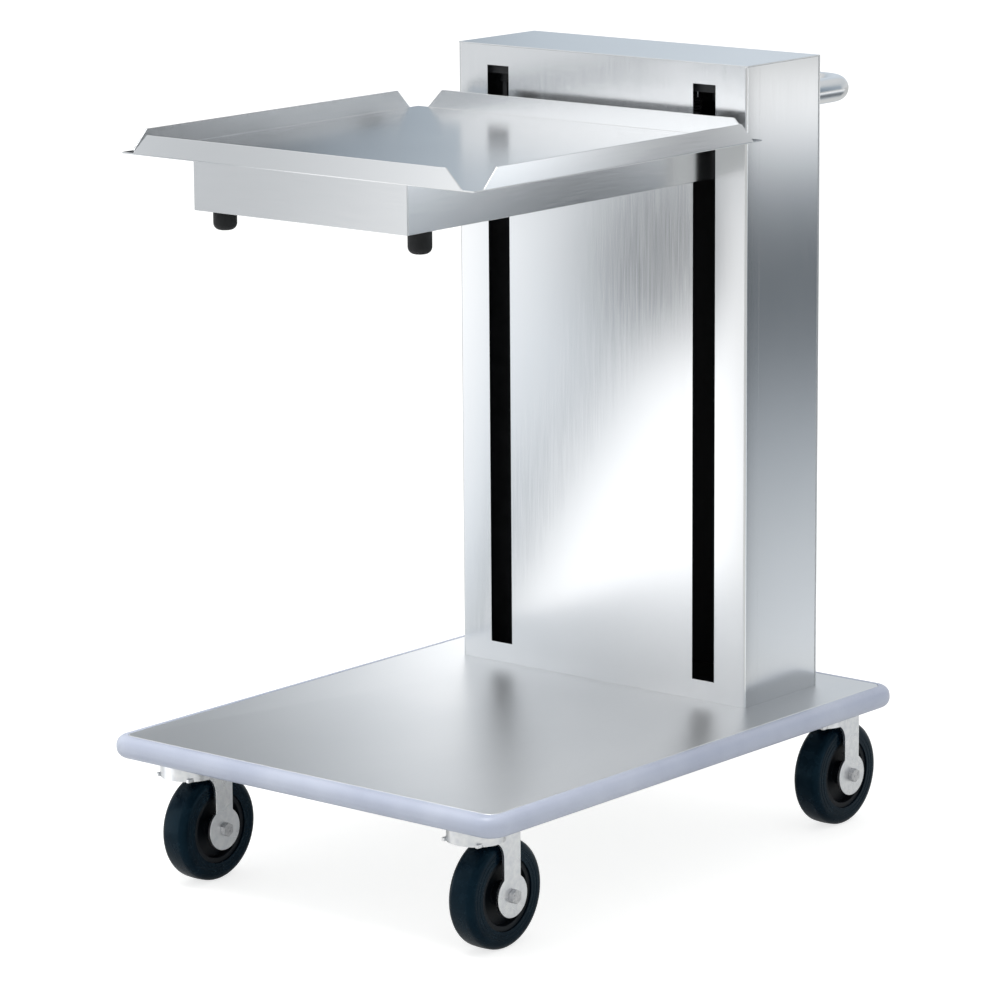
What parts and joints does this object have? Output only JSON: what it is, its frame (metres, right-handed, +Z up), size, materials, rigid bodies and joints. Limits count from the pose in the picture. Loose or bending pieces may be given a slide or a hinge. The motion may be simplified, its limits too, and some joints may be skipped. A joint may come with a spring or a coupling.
{
  "type": "mobile tray dispenser",
  "caption": "Wheeled tray dispenser cart: a sprung tray platform on arms rides up and down in a slotted steel tower above a bumpered deck on swivel casters.",
  "frame": {"origin": "on the floor under the middle of the overall box", "axes": "+X to the right seen from the front, +Y towards the tower and push handle, +Z up"},
  "size_m": [0.58, 0.795, 0.934],
  "materials": {
    "stainless": "fine satin stainless sheet",
    "blackened_steel": "dark oxide finish on the hidden working parts",
    "bumper_vinyl": "matte grey vinyl",
    "fastener_steel": "bright plated steel",
    "zinc_plate": "bright zinc plate",
    "wheel_hub": "black moulded plastic",
    "tyre_black": "smooth solid black rubber",
    "black_rubber": "matte black rubber",
    "spring_wire": "drawn spring wire",
    "roller_nylon": "off-white nylon"
  },
  "bodies": {
    "cart": {"deck_pan": "stainless", "bumper": "bumper_vinyl", "front_caster_channel": "stainless", "rear_caster_channel": "stainless", "tower_support_channel": "stainless", "caster_bolts": "fastener_steel", "tower_bolts": "fastener_steel", "tower_front": "stainless", "tower_left_side": "stainless", "tower_right_side": "stainless", "tower_top_cap": "stainless", "rear_cover": "stainless", "rear_cover_screws": "fastener_steel", "tower_base_plate": "blackened_steel", "left_track": "blackened_steel", "right_track": "blackened_steel", "spring_anchor_bar": "blackened_steel", "rubber_stops": "black_rubber", "handle_mount_plate": "blackened_steel", "push_handle": "stainless", "handle_bolts": "fastener_steel", "lift_springs": "spring_wire", "caster_kingpins": "fastener_steel", "front_left_caster_plate": "zinc_plate", "front_right_caster_plate": "zinc_plate", "rear_left_caster_plate": "zinc_plate", "rear_right_caster_plate": "zinc_plate"},
    "carriage": {"tray_platform": "stainless", "left_arm": "stainless", "right_arm": "stainless", "front_apron": "stainless", "rubber_feet": "black_rubber", "foot_screws": "fastener_steel", "left_cheek": "blackened_steel", "right_cheek": "blackened_steel", "cheek_bolts": "blackened_steel", "roller_axles": "fastener_steel", "roller_clips": "fastener_steel", "carriage_back_plate": "blackened_steel", "spring_hook_bar": "blackened_steel"},
    "lower_left_guide_roller": {"lower_left_roller": "roller_nylon"},
    "lower_right_guide_roller": {"lower_right_roller": "roller_nylon"},
    "upper_left_guide_roller": {"upper_left_roller": "roller_nylon"},
    "upper_right_guide_roller": {"upper_right_roller": "roller_nylon"},
    "front_left_caster": {"front_left_fork": "zinc_plate", "front_left_axle": "fastener_steel"},
    "front_left_wheel": {"front_left_tyre": "tyre_black", "front_left_hub": "wheel_hub"},
    "front_right_caster": {"front_right_fork": "zinc_plate", "front_right_axle": "fastener_steel"},
    "front_right_wheel": {"front_right_tyre": "tyre_black", "front_right_hub": "wheel_hub"},
    "rear_left_caster": {"rear_left_fork": "zinc_plate", "rear_left_axle": "fastener_steel"},
    "rear_left_wheel": {"rear_left_tyre": "tyre_black", "rear_left_hub": "wheel_hub"},
    "rear_right_caster": {"rear_right_fork": "zinc_plate", "rear_right_axle": "fastener_steel"},
    "rear_right_wheel": {"rear_right_tyre": "tyre_black", "rear_right_hub": "wheel_hub"}
  },
  "joints": [
    {"name": "carriage_lift", "type": "slide", "parent": "cart", "child": "carriage", "axis": [0, 0, 1], "range_m": [-0.592, 0], "stiffness_N_per_m": 657, "springref_m": 0.19, "deforming": ["lift_springs"]},
    {"name": "lower_left_roller_spin", "type": "hinge", "parent": "carriage", "child": "lower_left_guide_roller", "pos_m": [-0.1753, 0.22375, 0.803], "axis": [1, 0, 0], "range_deg": [-10, 1795]},
    {"name": "lower_right_roller_spin", "type": "hinge", "parent": "carriage", "child": "lower_right_guide_roller", "pos_m": [0.1753, 0.22375, 0.803], "axis": [1, 0, 0], "range_deg": [-10, 1795]},
    {"name": "upper_left_roller_spin", "type": "hinge", "parent": "carriage", "child": "upper_left_guide_roller", "pos_m": [-0.1753, 0.22375, 0.903], "axis": [1, 0, 0], "range_deg": [-1795, 10]},
    {"name": "upper_right_roller_spin", "type": "hinge", "parent": "carriage", "child": "upper_right_guide_roller", "pos_m": [0.1753, 0.22375, 0.903], "axis": [1, 0, 0], "range_deg": [-1795, 10]},
    {"name": "front_left_swivel", "type": "hinge", "parent": "cart", "child": "front_left_caster", "pos_m": [-0.216, -0.3395, 0.14], "axis": [0, 0, 1], "continuous": true},
    {"name": "front_left_wheel_spin", "type": "hinge", "parent": "front_left_caster", "child": "front_left_wheel", "pos_m": [-0.216, -0.308, 0.0635], "axis": [1, 0, 0], "continuous": true},
    {"name": "front_right_swivel", "type": "hinge", "parent": "cart", "child": "front_right_caster", "pos_m": [0.216, -0.3395, 0.14], "axis": [0, 0, 1], "continuous": true},
    {"name": "front_right_wheel_spin", "type": "hinge", "parent": "front_right_caster", "child": "front_right_wheel", "pos_m": [0.216, -0.308, 0.0635], "axis": [1, 0, 0], "continuous": true},
    {"name": "rear_left_swivel", "type": "hinge", "parent": "cart", "child": "rear_left_caster", "pos_m": [-0.216, 0.3025, 0.14], "axis": [0, 0, 1], "continuous": true},
    {"name": "rear_left_wheel_spin", "type": "hinge", "parent": "rear_left_caster", "child": "rear_left_wheel", "pos_m": [-0.216, 0.334, 0.0635], "axis": [1, 0, 0], "continuous": true},
    {"name": "rear_right_swivel", "type": "hinge", "parent": "cart", "child": "rear_right_caster", "pos_m": [0.216, 0.3025, 0.14], "axis": [0, 0, 1], "continuous": true},
    {"name": "rear_right_wheel_spin", "type": "hinge", "parent": "rear_right_caster", "child": "rear_right_wheel", "pos_m": [0.216, 0.334, 0.0635], "axis": [1, 0, 0], "continuous": true}
  ],
  "couplings": [
    {"joint": "lower_left_roller_spin", "follows": "carriage_lift", "rad_per_m": -52.632},
    {"joint": "lower_right_roller_spin", "follows": "carriage_lift", "rad_per_m": -52.632},
    {"joint": "upper_left_roller_spin", "follows": "carriage_lift", "rad_per_m": 52.632},
    {"joint": "upper_right_roller_spin", "follows": "carriage_lift", "rad_per_m": 52.632}
  ]
}
